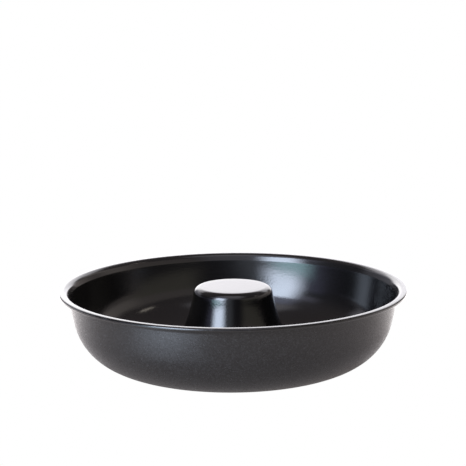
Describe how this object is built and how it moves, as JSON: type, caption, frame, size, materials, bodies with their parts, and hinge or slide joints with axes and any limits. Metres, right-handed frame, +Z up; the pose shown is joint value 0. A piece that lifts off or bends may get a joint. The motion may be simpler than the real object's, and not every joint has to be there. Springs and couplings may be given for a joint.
{
  "type": "ring cake pan",
  "caption": "Round ring cake pan: a flared bowl with a rolled, wired rim and a closed tapered cone locked into its floor, for baking ring-shaped cakes.",
  "frame": {"origin": "on the table, under the middle of the pan", "axes": "+Z up along the axis of the bowl and the cone; the pan is round, so X and Y are free"},
  "size_m": [0.28, 0.28, 0.0615],
  "materials": {
    "bowl_coat": "satin dark grey coat with fine sparkle outside, gloss black non-stick coat inside and over the rim",
    "cone_coat": "gloss black non-stick coat on the food side, satin dark grey coat underneath",
    "wire_steel": "bright drawn wire"
  },
  "bodies": {
    "root": {"outer_bowl": "bowl_coat", "centre_cone": "cone_coat", "rim_wire": "wire_steel"}
  },
  "joints": []
}
